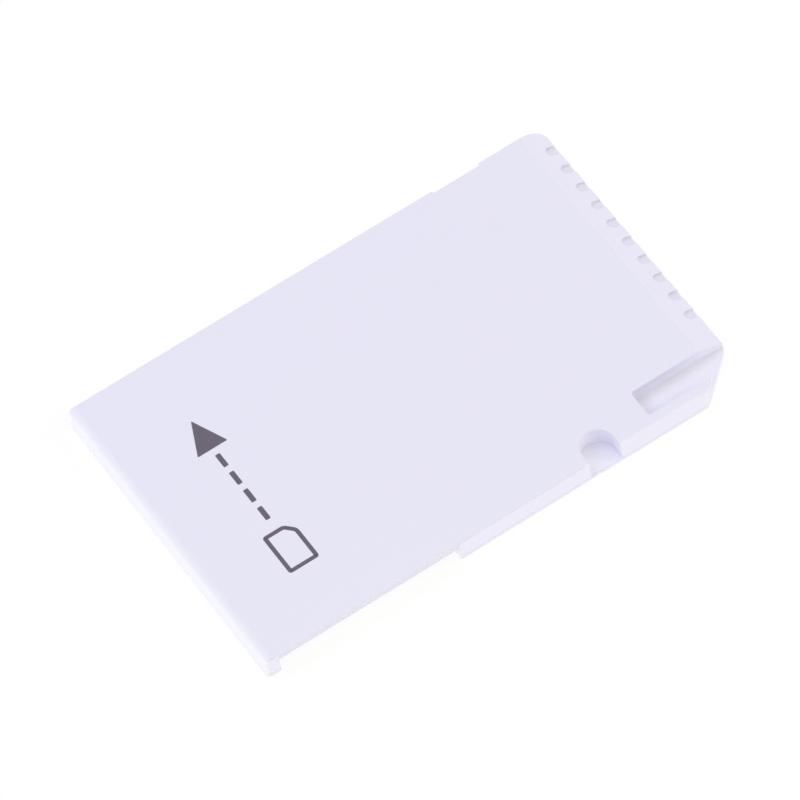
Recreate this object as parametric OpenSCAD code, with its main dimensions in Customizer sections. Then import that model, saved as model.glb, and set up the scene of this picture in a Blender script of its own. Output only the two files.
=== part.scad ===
// Memory card adapter. A smaller memory card slides into it through the long
// side, and the adapter then plugs into a reader by its contact end.
// +X points to the contact end, -Y to the card mouth, +Z to the label side.
// The origin is the middle of the underside. All sizes are in millimetres.

/* [Body] */
// Length from the thumb end to the contact end
body_l = 31; // [30:0.1:36]
// Width across the long sides
body_w = 20; // [19.5:0.1:26]
// Thickness from the underside to the label side
body_t = 1.6; // [1.6:0.05:3]
// Radius of the plain corner of the contact end in plan
corner_r = 0.8; // [0.2:0.05:1.5]
// Radius of the two corners of the thumb end in plan
thumb_corner_r = 0.3; // [0.2:0.05:1.5]
// Radius along the long top edges
edge_r = 0.16; // [0.05:0.01:0.35]
// Radius along the top edge of the thumb end
thumb_r = 0.55; // [0.1:0.05:0.8]
// Radius round the underside
under_r = 0.12; // [0.05:0.01:0.2]

/* [Walls] */
// Roof of the top cover
roof_t = 0.4; // [0.3:0.05:0.6]
// Floor of the base
floor_t = 0.3; // [0.2:0.05:0.35]
// Wall at the thumb end
thumb_wall_t = 0.85; // [0.7:0.05:1.5]
// Wall along the closed long side
side_wall_t = 0.8; // [0.6:0.05:1.2]
// Wall at the contact end
front_wall_t = 1.05; // [1:0.05:1.3]
// Wall between the guide recess and the circuit board
recess_wall_t = 0.6; // [0.4:0.05:1]
// Wall between the card pocket and the circuit board
partition_t = 0.55; // [0.4:0.05:1]
// Height of the open joint line round the seam
seam_h = 0.02; // [0.02:0.01:0.08]
// Depth of the open joint line round the seam
seam_depth = 0.05; // [0.05:0.01:0.2]

/* [Contact end] */
// Length of the sloped top edge
bevel_l = 1.5; // [1:0.05:2]
// Drop of the sloped top edge at its tip
bevel_drop = 0.55; // [0.3:0.05:0.6]
// Length of the cut corner, along the mouth side
cut_l = 2.6; // [2:0.05:3]
// Width of the cut corner, along the tip
cut_w = 2.35; // [2:0.05:2.6]
// Radius where the cut corner meets the mouth side
cut_side_r = 1; // [0.2:0.05:1.5]
// Radius where the cut corner meets the tip
cut_tip_r = 0.2; // [0.1:0.05:0.8]
// Number of contact slots
contact_n = 10; // [4:1:10]
// Width of the ribs between the contact slots
rib_w = 0.4; // [0.3:0.01:0.6]
// Distance from the side wall to the first slot
row_start = 0.25; // [0.15:0.01:0.6]
// Distance from the last slot to the wall of the guide recess
row_end = 1.33; // [0.8:0.01:2]
// Length of a contact slot, from the tip
slot_l = 5.4; // [4.5:0.1:6.5]
// Depth of a contact slot, from the underside to the board
slot_depth = 0.5; // [0.4:0.01:0.55]
// How much narrower a dent is than the slot below it
dent_margin = 0.44; // [0.2:0.01:0.6]
// Length of a dent, from the tip
dent_l = 0.78; // [0.5:0.01:0.8]
// Depth of a dent below the slope
dent_depth = 0.18; // [0.1:0.01:0.32]

/* [Guide recess and notches] */
// Length of the recess, from the tip
recess_l = 5.95; // [4.5:0.05:6]
// Distance from the mouth side to the inner wall of the recess
recess_in = 2.44; // [2.2:0.01:2.8]
// Depth of the recess below the label side
recess_depth = 0.95; // [0.5:0.05:1]
// Width of the rim left outside the recess
rim_w = 0.65; // [0.4:0.05:1]
// Radius of the inner corner of the recess
recess_r = 0.2; // [0.1:0.05:0.4]
// Radius of the half-round lock notch
lock_r = 1.02; // [0.8:0.01:1.2]
// Depth of the lock notch, from the mouth side
lock_in = 1.76; // [1.2:0.01:1.9]
// Distance from the tip to the middle of the lock notch
lock_from_tip = 9.24; // [8.5:0.01:10]
// Length of the shallow notch in the closed long side
far_notch_l = 3.1; // [2:0.1:4]
// Depth of the shallow notch in the closed long side
far_notch_in = 0.22; // [0.1:0.01:0.3]
// Distance from the tip to the shallow notch
far_notch_from_tip = 4.15; // [3.5:0.05:6]

/* [Card pocket] */
// Width of the small card
card_w = 11; // [10.5:0.1:11.3]
// Length of the small card
card_l = 15; // [13:0.1:15.2]
// Side gap round the small card
card_gap = 0.25; // [0.1:0.01:0.35]
// How far the floor stands back from the mouth
mouth_setback = 2.2; // [1.5:0.1:3]
// Radius of the finger scoop in the floor
scoop_r = 3.6; // [2.5:0.1:4.5]
// Depth of the finger scoop, from the mouth side
scoop_in = 5; // [3:0.1:6]

/* [Card contacts] */
// Number of contact springs
spring_n = 8; // [4:1:8]
// Distance from one spring to the next
spring_pitch = 1.1; // [1:0.01:1.2]
// Width of a spring
spring_w = 0.5; // [0.3:0.05:0.7]
// Thickness of a spring
spring_t = 0.12; // [0.08:0.01:0.15]
// How far the spring's crest stands out in front of the carrier
spring_reach = 2.3; // [1.5:0.1:3]
// Height of the free spring's crest above the floor
spring_rise = 0.45; // [0.3:0.01:0.55]
// Distance from the end of a spring's soldered tail to the board's edge
tail_margin = 0.35; // [0.2:0.05:1]
// Length of the carrier along the pocket
carrier_l = 1.3; // [1:0.05:1.6]
// Gap above the carrier
carrier_gap = 0.04; // [0.02:0.01:0.06]

/* [Circuit board] */
// Thickness of the board
board_t = 0.4; // [0.3:0.01:0.42]
// Gap between the board's edge and the walls
board_gap = 0.1; // [0.05:0.01:0.15]
// Gap between the board and the roof where the cover clamps it
clamp_gap = 0.02; // [0.01:0.01:0.03]
// Thickness of a plated contact
plating_t = 0.03; // [0.02:0.01:0.06]
// How much narrower a plated contact is than its slot
plating_margin = 0.15; // [0.05:0.01:0.3]
// Length of a plated contact
plating_l = 3.9; // [3:0.1:4.2]
// Radius of the locating pegs
peg_r = 0.4; // [0.3:0.05:0.5]
// Gap round a locating peg
peg_gap = 0.05; // [0.03:0.01:0.1]
// Width of the ledge that carries the board
ledge_w = 0.9; // [0.6:0.1:1.5]
// Width of the controller chip
chip_w = 4; // [3:0.1:5]
// Gap between the controller chip and the roof
chip_gap = 0.05; // [0.03:0.01:0.1]
// Size of the chip's cut corner
chip_cut = 0.4; // [0.2:0.1:0.8]
// Length of a small chip part
chip_part_l = 0.6; // [0.4:0.05:0.8]
// Width of a small chip part
chip_part_w = 0.3; // [0.2:0.05:0.4]
// Gap between a small chip part and the roof
chip_part_gap = 0.06; // [0.03:0.01:0.1]
// Distance from one small chip part to the next
chip_part_pitch = 1.2; // [0.9:0.05:1.4]

/* [Hidden] */
capacitor_n = 4;
resistor_n = 3;

$fn = 48;
eps = 0.5;
tip_x = body_l / 2;
thumb_x = -tip_x;
shut_y = body_w / 2;
mouth_y = -shut_y;

// Heights, from the underside up
pocket_top = body_t - roof_t;
board_top = slot_depth + board_t;
tip_z = body_t - bevel_drop;
recess_z = body_t - recess_depth;

// The card pocket, in plan
pocket_x0 = thumb_x + thumb_wall_t;
pocket_x1 = pocket_x0 + card_w + 2 * card_gap;
pocket_mid = (pocket_x0 + pocket_x1) / 2;
stop_y = mouth_y + card_l + board_gap;
strip_y0 = stop_y + carrier_l;
strip_y1 = shut_y - side_wall_t;

// The room for the circuit board, in plan
room_x0 = pocket_x1 + partition_t;
room_x1 = tip_x - front_wall_t;
room_y0 = mouth_y + recess_in + recess_wall_t;
clamp_x = tip_x - bevel_l - front_wall_t / 2;
board_x0 = room_x0 + board_gap;
board_y0 = room_y0 + board_gap;
board_y1 = strip_y1 - board_gap;
slots_x0 = tip_x - slot_l;
plating_x1 = room_x1 - 2 * board_gap;

// The contact slots share the room's width evenly, with a rib between each two
slot_w = (strip_y1 - room_y0 - row_start - row_end - (contact_n - 1) * rib_w) / contact_n;
plating_w = slot_w - plating_margin;
dent_w = slot_w - dent_margin;

// The cover's locating pegs, near the corners of the board's wide part
pegs = [
    [board_x0 + 3 * peg_r, board_y0 + 3 * peg_r],
    [board_x0 + 3 * peg_r, board_y1 - 3 * peg_r],
    [slots_x0 - 3 * peg_r, board_y0 + 3 * peg_r],
    [slots_x0 - 3 * peg_r, board_y1 - 3 * peg_r]
];

// The controller chip sits in the middle of the wide part, small chip parts beside it
chip_x = (board_x0 + slots_x0) / 2;
chip_y = (board_y0 + board_y1) / 2;
chip_parts_y = chip_w / 2 + chip_part_pitch;

function contact_y(i) = strip_y1 - row_start - slot_w / 2 - (i - 1) * (slot_w + rib_w);
function spring_x(i) = pocket_mid + (i - (spring_n + 1) / 2) * spring_pitch;
function unit(v) = v / norm(v);

// The closed outline through the corners p, with radius r[k] at corner k
function rounded(p, r, steps = 8) = [
    for (k = [0 : len(p) - 1])
        let (n = len(p),
             a = unit(p[(k + n - 1) % n] - p[k]),
             b = unit(p[(k + 1) % n] - p[k]),
             half = acos(a * b) / 2,
             centre = p[k] + unit(a + b) * r[k] / sin(half),
             from = p[k] + a * r[k] / tan(half) - centre,
             turn = 180 - 2 * half)
        for (s = [0 : steps])
            let (w = turn * s / steps)
            centre + [from.x * cos(w) - from.y * sin(w), from.x * sin(w) + from.y * cos(w)]
];

// The outline of a strip of thickness t bent along the points p
function side_of(p, d) = [
    for (k = [0 : len(p) - 1])
        let (a = unit(p[max(k, 1)] - p[max(k, 1) - 1]),
             b = unit(p[min(k + 1, len(p) - 1)] - p[min(k + 1, len(p) - 1) - 1]),
             m = unit([-a.y - b.y, a.x + b.x]),
             reach = d / (m * [-a.y, a.x]))
        p[k] + m * reach
];
function bent_strip(p, t) = concat(
    side_of(p, t / 2),
    [for (k = [len(p) - 1 : -1 : 0]) side_of(p, -t / 2)[k]]
);

// A box between two corners
module block(low, high) {
    translate(low) cube(high - low);
}

// Turns a flat outline drawn in Y and Z into a bar along X
module bar_x(x0, x1) {
    translate([x0, 0, 0]) rotate([90, 0, 90]) linear_extrude(x1 - x0) children();
}

// Turns a flat outline drawn in X and Z into a bar along Y
module bar_y(y0, y1) {
    translate([0, y1, 0]) rotate([90, 0, 0]) linear_extrude(y1 - y0) children();
}

// The outline in plan, drawn in by the given distance all round
module plan(inset = 0) {
    x = tip_x - inset;
    y = shut_y - inset;
    slant = atan(cut_w / cut_l);
    cut_x = tip_x - cut_l - inset * tan(slant / 2);
    cut_y = mouth_y + cut_w + inset * tan(45 - slant / 2);
    tip_r = max(corner_r - inset, 0.05);
    end_r = max(thumb_corner_r - inset, 0.05);
    polygon(rounded(
        [[-x, -y], [cut_x, -y], [x, cut_y], [x, y], [-x, y]],
        [end_r, cut_side_r, cut_tip_r, tip_r, end_r]
    ));
}

// The outline seen from a long side, with the rounded thumb end and the sloped tip
module long_profile() {
    polygon(rounded(
        [[thumb_x, 0], [tip_x, 0], [tip_x, tip_z], [tip_x - bevel_l, body_t], [thumb_x, body_t]],
        [under_r, under_r, under_r, edge_r, thumb_r]
    ));
}

// The outline seen from the thumb end
module end_profile() {
    polygon(rounded(
        [[mouth_y, 0], [shut_y, 0], [shut_y, body_t], [mouth_y, body_t]],
        [under_r, under_r, edge_r, edge_r]
    ));
}

// The whole card as one solid block, which both mouldings are cut from
module envelope() {
    intersection() {
        translate([0, 0, -eps]) linear_extrude(body_t + 2 * eps) plan();
        bar_y(mouth_y - eps, shut_y + eps) long_profile();
        bar_x(thumb_x - eps, tip_x + eps) end_profile();
    }
}

// The guide recess beside the cut corner, open at the tip
module guide_recess() {
    x0 = tip_x - recess_l;
    y0 = mouth_y + rim_w;
    y1 = mouth_y + recess_in;
    translate([0, 0, recess_z]) linear_extrude(body_t) polygon(rounded(
        [[x0, y0], [tip_x + eps, y0], [tip_x + eps, y1], [x0, y1]],
        [recess_r, recess_r / 2, recess_r / 2, recess_r]
    ));
}

// The half-round notch that a reader's latch drops into
module lock_notch() {
    x = tip_x - lock_from_tip;
    y = mouth_y + lock_in - lock_r;
    translate([x, y, floor_t]) cylinder(r = lock_r, h = body_t);
    block([x - lock_r, mouth_y - eps, floor_t], [x + lock_r, y, floor_t + body_t]);
}

// The shallow notch in the closed long side
module far_notch() {
    x1 = tip_x - far_notch_from_tip;
    block([x1 - far_notch_l, shut_y - far_notch_in, -eps], [x1, shut_y + eps, body_t + eps]);
}

// The row of small dents, square to the sloped edge and rounded at their inner ends
module dents() {
    slope = atan(bevel_drop / bevel_l);
    for (i = [1 : contact_n])
        translate([tip_x, contact_y(i), tip_z]) rotate([0, slope, 0])
            translate([dent_w / 2 - dent_l, 0, -dent_depth]) {
                cylinder(d = dent_w, h = body_t);
                translate([0, -dent_w / 2, 0]) cube([dent_l, dent_w, body_t]);
            }
}

// The hollows of the top cover: the card pocket, the board's room and the slot row
module cover_hollows() {
    low = floor_t - eps;
    block([pocket_x0, mouth_y - eps, low], [pocket_x1, strip_y0, pocket_top]);
    block([pocket_x0, strip_y0 - eps, low], [room_x0 + eps, strip_y1, pocket_top]);
    block([room_x0, room_y0, low], [clamp_x, strip_y1, pocket_top]);
    block([clamp_x - eps, room_y0, low], [room_x1, strip_y1, board_top + clamp_gap]);
    block([room_x1 - eps, room_y0, low], [tip_x + eps, strip_y1, slot_depth]);
}

module top_cover() {
    color([0.90, 0.89, 0.96]) {
        difference() {
            intersection() {
                envelope();
                block(
                    [thumb_x - eps, mouth_y - eps, floor_t],
                    [tip_x + eps, shut_y + eps, body_t + eps]
                );
            }
            cover_hollows();
            guide_recess();
            lock_notch();
            far_notch();
            dents();
        }
        for (p = pegs)
            translate([p.x, p.y, slot_depth + clamp_gap])
                cylinder(r = peg_r, h = pocket_top - slot_depth);
    }
}

// The raised part of the base that carries the board, hollowed where nothing rests
module board_bed() {
    difference() {
        union() {
            block([board_x0, board_y0, 0], [tip_x, board_y1, slot_depth]);
            block([pocket_x0 + board_gap, strip_y0 + board_gap, 0], [board_x0 + eps, board_y1, slot_depth]);
        }
        block(
            [board_x0 + ledge_w, board_y0 + ledge_w, floor_t],
            [slots_x0 - ledge_w, board_y1 - ledge_w, slot_depth + eps]
        );
    }
}

// The contact slots, open at the tip
module contact_slots() {
    for (i = [1 : contact_n])
        translate([slots_x0, contact_y(i) - slot_w / 2, -eps])
            cube([slot_l + eps, slot_w, body_t + 2 * eps]);
}

// The cut-out under the card mouth, with the finger scoop
module mouth_cut() {
    block([pocket_x0, mouth_y - eps, -eps], [pocket_x1, mouth_y + mouth_setback, floor_t + eps]);
    translate([pocket_mid, mouth_y + scoop_in - scoop_r, -eps])
        cylinder(r = scoop_r, h = floor_t + 2 * eps);
}

// The open joint line that a welded seam leaves round the outside
module seam_line() {
    translate([0, 0, floor_t - seam_h]) linear_extrude(seam_h + eps) difference() {
        square([body_l + 2 * eps, body_w + 2 * eps], center = true);
        plan(seam_depth);
    }
}

module base_frame() {
    color([0.88, 0.88, 0.93]) difference() {
        intersection() {
            envelope();
            union() {
                block([thumb_x - eps, mouth_y - eps, -eps], [tip_x + eps, shut_y + eps, floor_t]);
                board_bed();
            }
        }
        contact_slots();
        mouth_cut();
        far_notch();
        difference() {
            seam_line();
            block([room_x1, board_y0, 0], [tip_x + eps, board_y1, body_t]);
        }
    }
}

module circuit_board() {
    color([0.10, 0.33, 0.20]) difference() {
        union() {
            block([board_x0, board_y0, slot_depth], [room_x1 - board_gap, board_y1, board_top]);
            block(
                [pocket_x0 + board_gap, strip_y0 + board_gap, slot_depth],
                [board_x0 + eps, board_y1, board_top]
            );
        }
        for (p = pegs)
            translate([p.x, p.y, 0]) cylinder(r = peg_r + peg_gap, h = body_t);
    }
}

// A plated contact under the board, with rounded ends
module edge_contact(i) {
    x0 = plating_x1 - plating_l;
    y0 = contact_y(i) - plating_w / 2;
    r = plating_w / 5;
    color([0.86, 0.68, 0.28]) translate([0, 0, slot_depth - plating_t]) linear_extrude(plating_t)
        polygon(rounded(
            [[x0, y0], [plating_x1, y0], [plating_x1, y0 + plating_w], [x0, y0 + plating_w]],
            [r, r, r, r]
        ));
}

// The bent shape of a contact spring, drawn in Y and Z
module spring_shape() {
    lift = spring_t / 2;
    riser_y = stop_y + carrier_l / 2;
    low = floor_t + lift + clamp_gap;
    crest = floor_t + spring_rise - lift;
    polygon(bent_strip([
        [board_y1 - tail_margin, board_top + lift],
        [riser_y, board_top + lift],
        [riser_y, low],
        [stop_y - spring_reach / 8, low],
        [stop_y - spring_reach * 0.9, crest],
        [stop_y - spring_reach * 1.1, crest],
        [stop_y - spring_reach * 1.35, low + spring_rise / 4]
    ], spring_t));
}

module card_spring(i) {
    color([0.84, 0.70, 0.36]) bar_x(spring_x(i) - spring_w / 2, spring_x(i) + spring_w / 2)
        spring_shape();
}

// The insulator that holds the springs and stops the small card
module contact_carrier() {
    color([0.12, 0.12, 0.13]) difference() {
        block(
            [pocket_x0 + board_gap, stop_y, floor_t],
            [pocket_x1 - board_gap, strip_y0, pocket_top - carrier_gap]
        );
        for (i = [1 : spring_n])
            bar_x(spring_x(i) - spring_w / 2, spring_x(i) + spring_w / 2) spring_shape();
    }
}

module controller_chip() {
    w = chip_w / 2;
    color([0.14, 0.14, 0.15]) translate([chip_x, chip_y, board_top]) linear_extrude(pocket_top - board_top - chip_gap)
        polygon([[-w, -w], [w, -w], [w, w], [chip_cut - w, w], [-w, w - chip_cut]]);
}

// A small chip part in a row of n beside the controller, on the given side of it
module chip_part(i, n, side) {
    x = chip_x + (i - (n + 1) / 2) * chip_part_pitch;
    y = chip_y + side * chip_parts_y;
    translate([x - chip_part_w / 2, y - chip_part_l / 2, board_top])
        cube([chip_part_w, chip_part_l, pocket_top - board_top - chip_part_gap]);
}

top_cover();
base_frame();
circuit_board();
contact_carrier();
controller_chip();
for (i = [1 : contact_n])
    edge_contact(i);
for (i = [1 : spring_n])
    card_spring(i);
for (i = [1 : capacitor_n])
    color([0.62, 0.48, 0.34]) chip_part(i, capacitor_n, 1);
for (i = [1 : resistor_n])
    color([0.12, 0.12, 0.12]) chip_part(i, resistor_n, -1);
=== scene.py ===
# %% [markdown]
# # A thin card adapter, dressed for the camera
# The real piece is a white plastic stick, 31 mm long and 1.6 mm thick. A small memory card slides into its
# side, and the stick then goes into a console's card slot.
# The solids come finished from the packed model, so this lesson adds what a solid lacks: camera, light,
# finishes and the smallest parts. The first lines load the solids and keep the box they fill, because
# nothing that is added later may grow out of it.

# %% Load the packed solids
import math

import bmesh
import bpy
from mathutils import Matrix, Vector


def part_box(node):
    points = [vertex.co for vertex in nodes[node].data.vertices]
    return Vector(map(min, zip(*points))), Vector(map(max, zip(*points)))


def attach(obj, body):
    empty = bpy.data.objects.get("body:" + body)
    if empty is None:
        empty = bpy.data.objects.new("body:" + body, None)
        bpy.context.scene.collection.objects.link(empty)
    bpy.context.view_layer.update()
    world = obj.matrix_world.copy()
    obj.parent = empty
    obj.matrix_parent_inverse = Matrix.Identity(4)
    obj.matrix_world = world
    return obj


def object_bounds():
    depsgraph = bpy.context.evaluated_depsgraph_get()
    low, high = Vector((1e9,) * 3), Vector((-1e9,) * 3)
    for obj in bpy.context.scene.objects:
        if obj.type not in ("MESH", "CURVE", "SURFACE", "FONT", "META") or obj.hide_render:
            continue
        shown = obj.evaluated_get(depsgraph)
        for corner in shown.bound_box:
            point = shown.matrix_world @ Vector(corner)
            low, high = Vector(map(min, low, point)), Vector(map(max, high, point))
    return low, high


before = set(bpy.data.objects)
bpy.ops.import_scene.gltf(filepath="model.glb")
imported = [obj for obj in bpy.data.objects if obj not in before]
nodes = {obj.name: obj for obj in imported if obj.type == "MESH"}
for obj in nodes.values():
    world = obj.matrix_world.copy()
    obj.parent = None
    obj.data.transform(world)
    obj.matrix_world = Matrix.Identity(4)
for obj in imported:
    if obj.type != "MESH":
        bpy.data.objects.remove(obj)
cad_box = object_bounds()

MM = 0.001
size_mm = [round((high - low) / MM, 2) for low, high in zip(*cad_box)]
print("solids:", len(nodes), "and their box in mm:", size_mm)

# %% [markdown]
# ## The camera
# A product shot like this is taken from well above, on a long lens, with the stick lying across the frame.
# A long lens keeps parallel edges almost parallel, so the distance and the lens are a pair: each alone
# could be wrong and still fill the frame. They were found by setting the known size of the stick against
# its corners in the picture. The camera is also rolled about its own axis by some degrees, which a tracking
# constraint can't do, so its three axes are worked out here and put into its matrix.

# %% Aim the camera
AZIMUTH = math.radians(-24.397)
ELEVATION = math.radians(56.416)
ROLL = math.radians(-10.655)
DISTANCE = 0.44703
LENS = 372.12


def camera_axes():
    """Right, up and back of a camera that looks at the origin from AZIMUTH and ELEVATION, then rolls."""
    forward = Vector((-math.sin(AZIMUTH) * math.cos(ELEVATION),
                      math.cos(AZIMUTH) * math.cos(ELEVATION), -math.sin(ELEVATION)))
    level = Vector((math.cos(AZIMUTH), math.sin(AZIMUTH), 0))
    upright = level.cross(forward)
    right = math.cos(ROLL) * level + math.sin(ROLL) * upright
    up = math.cos(ROLL) * upright - math.sin(ROLL) * level
    return right, up, -forward


right, up, back = camera_axes()
lens_data = bpy.data.cameras.new("camera")
lens_data.lens = LENS
lens_data.sensor_width = 36
lens_data.shift_x = -0.01084
lens_data.shift_y = 0.00624
lens_data.clip_start = 0.01
camera = bpy.data.objects.new("camera", lens_data)
camera.matrix_world = Matrix.Translation(back * DISTANCE) @ Matrix((right, up, back)).transposed().to_4x4()
bpy.context.scene.collection.objects.link(camera)
bpy.context.scene.camera = camera
print("camera stands at, in mm:", [round(value / MM) for value in back * DISTANCE])

# %% [markdown]
# ## Shader sums as plain Python
# Every finish below is built from nodes. Adding them one by one takes many lines and hides the idea, so one
# small class wraps a socket. Plus, minus, times and the comparisons on it add Math nodes, and its method
# `node` adds any other kind. A finish then reads like the sentence that describes it.

# %% A socket that can be reckoned with
class Wire:
    """A socket of a material's nodes. Sums of wires and numbers add Math nodes."""

    def __init__(self, tree, socket):
        self.tree = tree
        self.socket = socket

    def node(self, kind, inputs, output=0, stops=(), **settings):
        """Add a node: its settings and ramp stops first, then the values or wires of its sockets."""
        made = self.tree.nodes.new(kind)
        for name, value in settings.items():
            setattr(made, name, value)
        for index, (place, colour) in enumerate(stops):
            ramp = made.color_ramp.elements
            stop = ramp[index] if index < len(ramp) else ramp.new(place)
            stop.position = place
            stop.color = (*colour, 1)
        for key, value in inputs.items():
            if isinstance(value, Wire):
                self.tree.links.new(value.socket, made.inputs[key])
            else:
                made.inputs[key].default_value = value
        return Wire(self.tree, made.outputs[output] if made.outputs else None)

    def sum(self, operation, first, second):
        return self.node("ShaderNodeMath", {0: first, 1: second}, operation=operation)

    def __add__(self, other):
        return self.sum("ADD", self, other)

    def __sub__(self, other):
        return self.sum("SUBTRACT", self, other)

    def __rsub__(self, other):
        return self.sum("SUBTRACT", other, self)

    def __mul__(self, other):
        return self.sum("MULTIPLY", self, other)

    def __truediv__(self, other):
        return self.sum("DIVIDE", self, other)

    def __rtruediv__(self, other):
        return self.sum("DIVIDE", other, self)

    def __gt__(self, other):
        return self.sum("GREATER_THAN", self, other)

    def __lt__(self, other):
        return self.sum("LESS_THAN", self, other)

    def __abs__(self):
        return self.sum("ABSOLUTE", self, 0)

    def __mod__(self, other):
        return self.sum("FLOORED_MODULO", self, other)

    __radd__ = __add__
    __rmul__ = __mul__


print("a wire knows:", [name for name in vars(Wire) if name.startswith("__") and name.endswith("__")][:12])

# %% [markdown]
# ## From a pattern to a finish
# All finishes start and end the same way. They start with the point on the piece, turned from metres into
# millimetres, because a moulder thinks of grain as so many per millimetre. They end in one Principled
# shader: what is the same all over goes on its own sockets as plain values, and only what changes over the
# surface is wired.

# %% Start and close a finish
def start_finish(name):
    """A new material without nodes, and a wire with the point on the piece in millimetres."""
    material = bpy.data.materials.new(name)
    material.use_nodes = True
    tree = material.node_tree
    tree.nodes.clear()
    point = Wire(tree, tree.nodes.new("ShaderNodeTexCoord").outputs["Object"])
    place = point.node("ShaderNodeVectorMath", {0: point, "Scale": 1 / MM}, operation="SCALE")
    return material, place


def close_finish(place, **sockets):
    """Feed the named sockets of a Principled shader, with spaces written as underscores."""
    inputs = {name.replace("_", " "): value for name, value in sockets.items()}
    shader = place.node("ShaderNodeBsdfPrincipled", inputs)
    place.node("ShaderNodeOutputMaterial", {"Surface": shader})


def noise(place, per_mm, detail=2.0):
    """Soft random grain from 0 to 1, with about so many grains to the millimetre."""
    return place.node("ShaderNodeTexNoise", {"Vector": place, "Scale": per_mm, "Detail": detail})


def blend(amount, first, second):
    """A colour from the first to the second, each three numbers or a wire, as amount goes from 0 to 1."""
    ends = [(*colour, 1) if isinstance(colour, tuple) else colour for colour in (first, second)]
    return amount.node("ShaderNodeMix", {0: amount, 6: ends[0], 7: ends[1]}, output=2, data_type="RGBA")


def axes(place):
    """The point's three numbers, each as a wire."""
    split = place.node("ShaderNodeSeparateXYZ", {0: place})
    return [Wire(split.tree, output) for output in split.socket.node.outputs]


def clamp(amount):
    """The amount, kept between 0 and 1."""
    return amount.node("ShaderNodeClamp", {"Value": amount})


def dent(place, height, depth_mm, strength=1.0):
    """A bump that reads height as a share of depth_mm."""
    return place.node("ShaderNodeBump", {"Strength": strength, "Distance": depth_mm * MM, "Height": height})


print("helpers for finishes are ready")

# %% [markdown]
# ## White moulded plastic
# Both halves of the shell are moulded in a white resin with a faint lavender cast. The tool was
# spark-eroded, which leaves a very fine satin grain, and the resin flowed from one side, so its tone drifts
# a little along the stick. A flat white would look like paper: the grain breaks up the highlight, and the
# drift keeps the large face from looking empty.
# The tone also changes from place to place. Under the lamps below, the picture's hollows are lighter than an
# even colour would come out, and its dents, recess corners, cut corner and rim over the mouth are darker.
# The finish paints this in, as painted light in the hollows and painted shade in the dents, recess corners,
# cut
# corner and rim: a small correction tuned to this one view. Leave the painted tone out for an even colour.
# Each mask is made from distances: how deep a point lies under the label side, how far it lies inside the
# cut corner, and how close it is to a wall of the recess. The hollow mask has no lower bound, so the
# underside is in it too.

# %% The shell's plastic
HALF_L, HALF_W, THICK = 15.5, 10.0, 1.6
SLOPE_L, SLOPE_DROP = 1.5, 0.55
CUT_L, CUT_W = 2.6, 2.35
MOUTH_X, MOUTH_HALF = -8.9, 5.75
RECESS_X, RECESS_Y, RECESS_Z = 9.55, -7.56, 0.65
SEAM_Z = 0.52
SKIN = 0.05
HOLLOW_DEPTH = 0.3
DENT_ROW_L = 0.8
RIM_H, LIP_H = 0.14, 0.3
RIM_FADE = 12
NOTCH_START = 5.0
FOOT_W, END_W = 0.6, 0.7
# The lighter tone is painted light for the hollows. The darker tone and the amounts after it are painted
# shade.
PAINTED_LIGHT_TONE = (0.843, 0.831, 0.964)
PAINTED_SHADE_TONE = (0.640, 0.625, 0.760)
RIM_AND_DENT_SHADE = 0.35
FOOT_SHADE, END_SHADE, CUT_SHADE = 0.15, 0.38, 0.3


def painted_light_and_shade(place, colour):
    """The colour, with painted light in the hollows and painted shade in the dents, recess corners, cut
    corner and rim.
    """
    x, y, z = axes(place)
    down_slope = x.sum("MAXIMUM", x - (HALF_L - SLOPE_L), 0.0) * (SLOPE_DROP / SLOPE_L)
    under = THICK - z - down_slope
    cut = ((x - (HALF_L - CUT_L)) * CUT_W - (y + HALF_W) * CUT_L) / math.hypot(CUT_L, CUT_W)
    inside = (abs(x) < HALF_L - SKIN) * (abs(y) < HALF_W - SKIN) * (cut < -SKIN)
    hollow = inside * (under > HOLLOW_DEPTH)
    in_dent = inside * (under > SKIN) * (under < HOLLOW_DEPTH) * (x > HALF_L - DENT_ROW_L) * (cut < -1.0)
    lip = abs(x - MOUTH_X) < MOUTH_HALF
    high = clamp((RIM_H + lip * LIP_H - under) * RIM_FADE)
    rim = high * clamp((RIM_H - HALF_W - y) * RIM_FADE) * (x < NOTCH_START)
    floor = inside * (abs(z - RECESS_Z) < 0.02) * (x > RECESS_X - 0.1) * (y < RECESS_Y + 0.1)
    foot = clamp(1 - (RECESS_Y - y) / FOOT_W)
    end = clamp(1.6 - (x - RECESS_X) / END_W)
    # Painted light: the hollows turn lighter, except on the recess floor near its wall and its end.
    hollow_painted_light = blend(hollow - floor * clamp(foot + end), colour, PAINTED_LIGHT_TONE)
    cut_face = (cut > -0.02) * (z > SEAM_Z)
    # Painted shade: the dents, the rim along the near top edge and over the mouth, the recess floor at its
    # wall and end, and the cut face turn darker.
    painted_shade = (in_dent + rim) * RIM_AND_DENT_SHADE + floor * (foot * FOOT_SHADE + end * END_SHADE) + cut_face * CUT_SHADE
    return blend(painted_shade, hollow_painted_light, PAINTED_SHADE_TONE)


def shell_plastic(name, tone, shade, grain_per_mm, grain_depth):
    material, place = start_finish(name)
    grain = noise(place, grain_per_mm, detail=3.0)
    flow = place.node("ShaderNodeMapping", {"Vector": place, "Scale": (0.35, 1.0, 1.0)})
    drift = noise(flow, 0.16, detail=1.0)
    colour = blend(drift * 0.8 + grain * 0.2, tone, shade)
    roughness = 0.40 + drift * 0.06 + grain * 0.10
    # The base colour carries the painted light and painted shade of the tone function above.
    close_finish(place, Base_Color=painted_light_and_shade(place, colour), Roughness=roughness, Specular_IOR_Level=0.4,
                 Normal=dent(place, grain, grain_depth))
    return material


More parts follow.
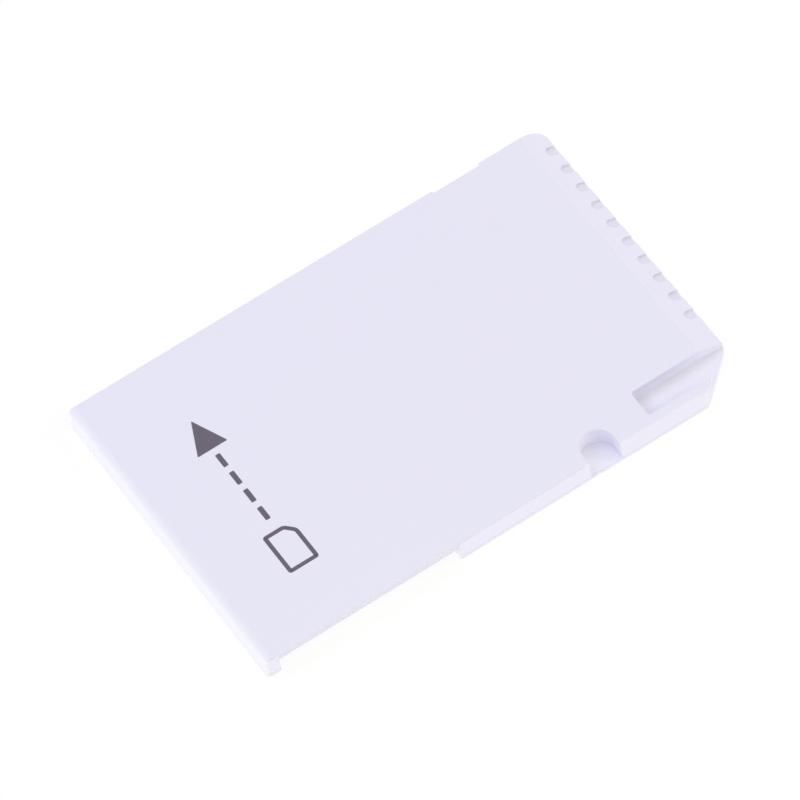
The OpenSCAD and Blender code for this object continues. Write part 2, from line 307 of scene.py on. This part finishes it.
cover_plastic = shell_plastic("cover_plastic", (0.827, 0.815, 0.955), (0.812, 0.800, 0.944), 11, 0.0012)
base_plastic = shell_plastic("base_plastic", (0.827, 0.816, 0.948), (0.806, 0.796, 0.930), 9, 0.0016)
print("made", cover_plastic.name, "and", base_plastic.name)

# %% [markdown]
# ## The lacquered board
# The board is glass-fibre laminate under green lacquer. It shows in the contact slots on the underside and,
# deep in the mouth, as a strip. Its cut edge is raw and pale, the weave lifts the lacquer slightly, and
# copper tracks show as lighter lines. The tracks are lines that repeat every 0.6 mm, kept off the edges by
# a mask.

# %% The board's laminate
def board_laminate():
    material, place = start_finish("board_laminate")
    x, y, z = axes(place)
    warp, weft = [place.node("ShaderNodeTexWave", {"Vector": place, "Scale": 1.6, "Distortion": 0.4},
                             output="Fac", bands_direction=way) for way in "XY"]
    weave = warp * weft
    line = abs(y % 0.6 - 0.3) < 0.07
    track = line * (x > 6.2) * (x < 9.9)
    via = place.node("ShaderNodeTexVoronoi", {"Vector": place, "Scale": 0.55}, feature="F1") < 0.22
    lacquer = blend(noise(place, 0.9) * 0.5 + track * 0.5, (0.012, 0.085, 0.040), (0.030, 0.170, 0.075))
    facing = place.node("ShaderNodeNewGeometry", {}, output="Normal")
    raw_edge = abs(axes(facing)[2]) < 0.5
    colour = blend(raw_edge, blend(via, lacquer, (0.45, 0.22, 0.08)), (0.42, 0.40, 0.22))
    roughness = 0.22 + raw_edge * 0.45 + noise(place, 3.0) * 0.08
    close_finish(place, Base_Color=colour, Roughness=roughness,
                 Normal=dent(place, weave * 0.5 + track, 0.004))
    return material


board_finish = board_laminate()
print("made", board_finish.name)

# %% [markdown]
# ## Black parts
# The block that holds the springs is moulded from black resin filled with glass, so it is matt and speckled.
# The controller's package is finer and a little glossier, and has a round dimple in the corner of pin 1.

# %% Spring holder and controller
def carrier_black():
    material, place = start_finish("carrier_plastic")
    speck = noise(place, 14, detail=4.0)
    colour = blend((speck > 0.62) * 0.7, (0.014, 0.014, 0.015), (0.060, 0.058, 0.055))
    close_finish(place, Base_Color=colour, Roughness=0.42 + speck * 0.2, Normal=dent(place, speck, 0.004))
    return material


def chip_black(corner):
    material, place = start_finish("chip_resin")
    x, y, z = axes(place)
    grain = noise(place, 22, detail=3.0)
    reach = ((x - corner[0]) * (x - corner[0]) + (y - corner[1]) * (y - corner[1])) / 0.0576
    dimple = reach < 1.0
    colour = blend(grain * 0.6 + dimple * 0.4, (0.010, 0.010, 0.011), (0.032, 0.032, 0.034))
    close_finish(place, Base_Color=colour, Roughness=0.55 - dimple * 0.25 + grain * 0.12,
                 Normal=dent(place, grain * 0.2 - dimple, 0.006))
    return material


chip_low, chip_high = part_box("controller_chip")
pin_corner = [(chip_low.x / MM) + 0.6, (chip_low.y / MM) + 0.6]
carrier_finish = carrier_black()
chip_finish = chip_black(pin_corner)
print("pin 1 dimple at, in mm:", [round(value, 2) for value in pin_corner])

# %% [markdown]
# ## Plated metal
# The edge contacts are hard gold over nickel on the board: smooth, with fine lines along the way they are
# wiped by the console's springs. The card springs are stamped bronze with a thin gold flash, so their
# colour is paler and rolling marks run along them. One function makes both, and the direction of the lines
# comes from stretching the noise with a Mapping node.

# %% Gold for the contacts and the springs
def plated(name, bright, dull, stretch, roughness):
    material, place = start_finish(name)
    along = place.node("ShaderNodeMapping", {"Vector": place, "Scale": stretch})
    wiped = noise(along, 6.0, detail=3.0)
    cloud = noise(place, 1.4, detail=2.0)
    colour = blend(cloud * 0.5 + wiped * 0.5, bright, dull)
    close_finish(place, Base_Color=colour, Metallic=1.0, Roughness=roughness + wiped * 0.12 + cloud * 0.08,
                 Normal=dent(place, wiped, 0.0015))
    return material


contact_gold = plated("contact_plating", (0.86, 0.64, 0.26), (0.74, 0.52, 0.20), (0.15, 1.6, 1.0), 0.18)
spring_gold = plated("spring_plating", (0.82, 0.64, 0.32), (0.66, 0.50, 0.24), (1.6, 0.15, 1.0), 0.22)
solder_tin = plated("solder_tin", (0.62, 0.63, 0.66), (0.45, 0.46, 0.49), (1.0, 1.0, 1.0), 0.25)
print("made", contact_gold.name, spring_gold.name, solder_tin.name)

# %% [markdown]
# ## Chip parts
# A chip capacitor is a brown ceramic block and a chip resistor a black film on white ceramic. Both end in
# tinned caps, 0.12 mm long. The caps lie at the ends of each block, so a mask on the distance from the
# block's middle finds them, and the row they stand in gives that middle.

# %% Ceramic with tinned ends
def chip_part(name, row_y, body, spots, cap=0.18):
    material, place = start_finish(name)
    x, y, z = axes(place)
    tinned = abs(y - row_y) > cap
    grain = noise(place, 18, detail=3.0)
    ceramic = blend(grain, body, spots)
    tin = blend(grain, (0.66, 0.67, 0.70), (0.48, 0.49, 0.52))
    close_finish(place, Base_Color=blend(tinned, ceramic, tin), Metallic=tinned * 0.95,
                 Roughness=0.5 - tinned * 0.2 + grain * 0.1, Normal=dent(place, grain + tinned, 0.004))
    return material


def middle_y(node):
    low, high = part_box(node)
    return (low.y + high.y) / 2 / MM


capacitor_row, resistor_row = middle_y("capacitor_1"), middle_y("resistor_1")
capacitor_finish = chip_part("capacitor_ceramic", capacitor_row, (0.30, 0.19, 0.10), (0.22, 0.13, 0.07))
resistor_finish = chip_part("resistor_film", resistor_row, (0.012, 0.012, 0.014), (0.030, 0.030, 0.034))
print("rows of chip parts at y, in mm:", round(capacitor_row, 2), round(resistor_row, 2))

# %% [markdown]
# ## Dress the solids
# Each solid keeps its own mesh and only gets a finish. The finishes are matched by the first words of the
# node's name, so ten contacts or eight springs take one line.

# %% Give every solid its finish
FINISHES = {
    "top_cover": cover_plastic,
    "base_frame": base_plastic,
    "circuit_board": board_finish,
    "contact_carrier": carrier_finish,
    "controller_chip": chip_finish,
    "edge_contact": contact_gold,
    "card_spring": spring_gold,
    "capacitor": capacitor_finish,
    "resistor": resistor_finish,
}

for name, solid in nodes.items():
    finish = next(made for start, made in FINISHES.items() if name.startswith(start))
    solid.data.materials.clear()
    solid.data.materials.append(finish)
print("dressed", len(nodes), "solids in", len(FINISHES), "finishes")

# %% [markdown]
# ## Helpers for new pieces
# A new piece starts as a bmesh in millimetres. When its shape is done, doubles are merged, faces are turned
# outwards, and the mesh is scaled to metres, so its object can stay at the origin like the solids do. Then
# it rides on the one body, because nothing on this adapter moves.

# %% Finish a piece
def add_piece(name, shape, finish):
    """Make a piece from a bmesh in millimetres."""
    bmesh.ops.remove_doubles(shape, verts=shape.verts, dist=0.0001)
    bmesh.ops.recalc_face_normals(shape, faces=shape.faces)
    bmesh.ops.scale(shape, verts=shape.verts, vec=(MM, MM, MM))
    mesh = bpy.data.meshes.new(name)
    shape.to_mesh(mesh)
    shape.free()
    mesh.materials.append(finish)
    piece = bpy.data.objects.new(name, mesh)
    bpy.context.scene.collection.objects.link(piece)
    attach(piece, "root")
    print(name, "has", len(mesh.polygons), "faces")
    return piece


def add_plate(shape, corners, z, thickness, rounding, frame_width=0.0):
    """A thin plate with the given corners, rounded, or only its border if frame_width is given."""
    before = set(shape.faces)
    face = shape.faces.new([shape.verts.new((x, y, z)) for x, y in corners])
    bmesh.ops.bevel(shape, geom=list(face.verts), offset=rounding, offset_type="OFFSET",
                    segments=4, profile=0.5, affect="VERTICES", material=-1)
    face = max(set(shape.faces) - before, key=lambda one: one.calc_area())
    faces = [face]
    if frame_width:
        faces = bmesh.ops.inset_region(shape, faces=[face], thickness=frame_width, use_boundary=True,
                                       use_even_offset=True)["faces"]
        bmesh.ops.delete(shape, geom=[face], context="FACES_ONLY")
    raised = bmesh.ops.extrude_face_region(shape, geom=faces, use_keep_orig=True)
    corners_up = [part for part in raised["geom"] if isinstance(part, bmesh.types.BMVert)]
    bmesh.ops.translate(shape, verts=corners_up, vec=(0, 0, thickness))


print("helpers for pieces are ready")

# %% [markdown]
# ## The printed mark
# Pad printing leaves a film of dark ink about 8 thousandths of a millimetre thick. The mark lies near the
# thumb end, where a person looks before pushing a card in: a small card with a cut corner, and a dashed
# arrow that points the way it goes. It is real film here and not only a colour, so its edge catches light.
# The ink is thin, so its tone is uneven and the satin grain shows through it.

# %% Ink on the top face
def marking_ink():
    material, place = start_finish("marking_ink")
    grain = noise(place, 11, detail=3.0)
    cover = noise(place, 2.2, detail=4.0)
    colour = blend(grain * 0.35 + cover * 0.65, (0.088, 0.072, 0.112), (0.150, 0.130, 0.180))
    close_finish(place, Base_Color=colour, Roughness=0.5 + grain * 0.15, Normal=dent(place, grain, 0.002))
    return material


TOP_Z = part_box("top_cover")[1].z / MM
MARK_X = -10.45
INK = 0.008
mark = bmesh.new()
half = 0.95
add_plate(mark, [(MARK_X - half, -6.1), (MARK_X + half, -6.1), (MARK_X + half, -3.9),
                 (MARK_X + half - 0.55, -3.3), (MARK_X - half, -3.3)], TOP_Z, INK, 0.18, 0.24)
for step in range(4):
    dash = -2.5 + step * 1.4
    add_plate(mark, [(MARK_X - 0.15, dash), (MARK_X + 0.15, dash), (MARK_X + 0.15, dash + 0.95),
                     (MARK_X - 0.15, dash + 0.95)], TOP_Z, INK, 0.06)
add_plate(mark, [(MARK_X - half, 3.1), (MARK_X + half, 3.1), (MARK_X, 5.3)], TOP_Z, INK, 0.08)
printed_mark = add_piece("printed_mark", mark, marking_ink())

# %% [markdown]
# ## Solder
# Each spring's tail is soldered to the strip of the board behind the holder, and each chip part has a small
# fillet at both ends. Solder wets metal and pulls itself into a mound with a hollow flank, so each mound is
# a box whose top is drawn in and whose edges are rounded.

# %% Mounds at the tails and at the chip parts
def add_mound(shape, low, high, draw_in):
    """A box between two corners whose top is drawn in, with rounded edges."""
    centre = [(a + b) / 2 for a, b in zip(low, high)]
    span = [b - a for a, b in zip(low, high)]
    place = Matrix.Translation(centre) @ Matrix.Diagonal((*span, 1))
    made = bmesh.ops.create_cube(shape, size=1.0, matrix=place)["verts"]
    top = [vert for vert in made if vert.co.z > centre[2]]
    bmesh.ops.scale(shape, verts=top, vec=(draw_in, draw_in, 1),
                    space=Matrix.Translation((-centre[0], -centre[1], 0)))
    edges = list({edge for vert in top for edge in vert.link_edges})
    bmesh.ops.bevel(shape, geom=edges, offset=min(span) * 0.3, offset_type="OFFSET", segments=3, profile=0.5,
                    affect="EDGES", material=-1)


BOARD_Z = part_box("circuit_board")[1].z / MM
tails = bmesh.new()
for index in range(1, 9):
    low, high = [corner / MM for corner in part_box(f"card_spring_{index}")]
    add_mound(tails, (low.x - 0.12, high.y - 0.75, BOARD_Z),
              (high.x + 0.12, high.y + 0.1, high.z + 0.03), 0.7)
tail_solder = add_piece("tail_solder", tails, solder_tin)

fillets = bmesh.new()
for name in [node for node in nodes if node.startswith(("capacitor", "resistor"))]:
    low, high = [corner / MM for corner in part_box(name)]
    for end, out in ((low.y, -1), (high.y, 1)):
        near, far = sorted((end - 0.02 * out, end + 0.12 * out))
        add_mound(fillets, (low.x, near, BOARD_Z), (high.x, far, BOARD_Z + 0.13), 0.75)
part_solder = add_piece("part_solder", fillets, solder_tin)

# %% [markdown]
# ## The stage
# The picture has a plain white ground. A white floor lit at a plain level would come out a pale grey, so
# most of what it shows is a glow of its own, and the rest is a lit surface that keeps a faint shadow. It
# doesn't darken the underside, and seen from below it is clear, so that the underside can be looked at too.
# The surroundings are plain white to the camera and to what gloss mirrors. The object's own light comes
# from the same sphere at other levels: a little cooler and lower from above, and from below brightest near
# the horizon, which is what a white table round the piece sends up to its walls.

# %% Floor and white surroundings
def white_floor():
    material = bpy.data.materials.new("white_floor")
    material.use_nodes = True
    tree = material.node_tree
    tree.nodes.clear()
    start = Wire(tree, tree.nodes.new("ShaderNodeNewGeometry").outputs["Backfacing"])
    lit = start.node("ShaderNodeBsdfDiffuse", {"Color": (0.9, 0.9, 0.9, 1)})
    glow = start.node("ShaderNodeEmission", {"Color": (1, 1, 1, 1), "Strength": 1.035})
    clear = start.node("ShaderNodeBsdfTransparent", {})
    ground = start.node("ShaderNodeMixShader", {0: 0.8, 1: lit, 2: glow})
    both = start.node("ShaderNodeMixShader", {0: start, 1: ground, 2: clear})
    start.node("ShaderNodeOutputMaterial", {"Surface": both})
    return material


sheet = bmesh.new()
bmesh.ops.create_grid(sheet, x_segments=1, y_segments=1, size=2.0)
floor_mesh = bpy.data.meshes.new("floor")
sheet.to_mesh(floor_mesh)
sheet.free()
floor_mesh.materials.append(white_floor())
floor = bpy.data.objects.new("floor", floor_mesh)
floor.location.z = -0.00002
floor.visible_diffuse = False
floor.visible_shadow = False
bpy.context.scene.collection.objects.link(floor)

ABOVE = 0.70
BELOW = 1.55
BELOW_FADE = 0.95
COOL_WHITE = (0.80, 0.82, 1.0)
PLAIN_WHITE = (1.0, 1.0, 1.0)
world = bpy.data.worlds.new("surroundings")
bpy.context.scene.world = world
world.use_nodes = True
world.node_tree.nodes.clear()
light_path = world.node_tree.nodes.new("ShaderNodeLightPath")
seen = [Wire(world.node_tree, light_path.outputs[f"Is {kind} Ray"])
        for kind in ("Camera", "Glossy", "Transmission")]
shown = seen[0].node("ShaderNodeMath", {0: seen[0] + seen[1] + seen[2], 1: 1.0}, operation="MINIMUM")
direction = Wire(world.node_tree, world.node_tree.nodes.new("ShaderNodeTexCoord").outputs["Generated"])
height = axes(direction)[2]
upper = height > 0.0
level = upper * ABOVE + (1 - upper) * (BELOW + height * BELOW_FADE)
tint = blend(shown, blend(upper, PLAIN_WHITE, COOL_WHITE), PLAIN_WHITE)
sky = shown.node("ShaderNodeBackground", {"Color": tint, "Strength": shown + (1 - shown) * level})
sky.node("ShaderNodeOutputWorld", {"Surface": sky})
print("floor and surroundings are ready")

# %% [markdown]
# ## The lamps
# The light is soft and comes from large panels. The strongest stands low beyond the thumb end, so that end's
# wall is the brightest face in the picture. One stands high on the far side and one high on the near side,
# and they share the label side between them. The last lights the sloped contact end. Each panel's power
# is worked out from its distance, so the number that is set is the share of a plain level that it gives to
# a face turned towards it. Levels and tints were solved to bring picked spots of this one picture out right,
# so they are a fit and not a record of the real lamps.

# %% Soft panels
def soft_lamp(name, place, width, level, colour):
    """A square panel that looks at the object and lights a face turned to it by level."""
    place = Vector(place)
    data = bpy.data.lights.new(name, "AREA")
    data.shape = "SQUARE"
    data.size = width
    data.energy = level * math.pi ** 2 * place.length_squared
    data.color = colour
    lamp = bpy.data.objects.new(name, data)
    lamp.matrix_world = Matrix.Translation(place) @ place.to_track_quat("Z", "Y").to_matrix().to_4x4()
    bpy.context.scene.collection.objects.link(lamp)
    print(name, "gives", level, "from", round(place.length, 2), "m away")


soft_lamp("far_panel", (-0.14, 0.20, 0.52), 0.30, 0.20, (0.90, 0.88, 1.0))
soft_lamp("near_panel", (0.05, -0.30, 0.52), 0.30, 0.142, (1.0, 1.0, 0.20))
soft_lamp("thumb_end_panel", (-0.60, -0.05, 0.02), 0.40, 0.262, (0.97, 1.0, 0.35))
soft_lamp("tip_panel", (0.42, -0.22, 0.36), 0.30, 0.212, (1.0, 0.90, 0.47))

# %% [markdown]
# ## Look
# The Standard view shows colours as they are written.

# %% Standard view
bpy.context.scene.view_settings.view_transform = "Standard"
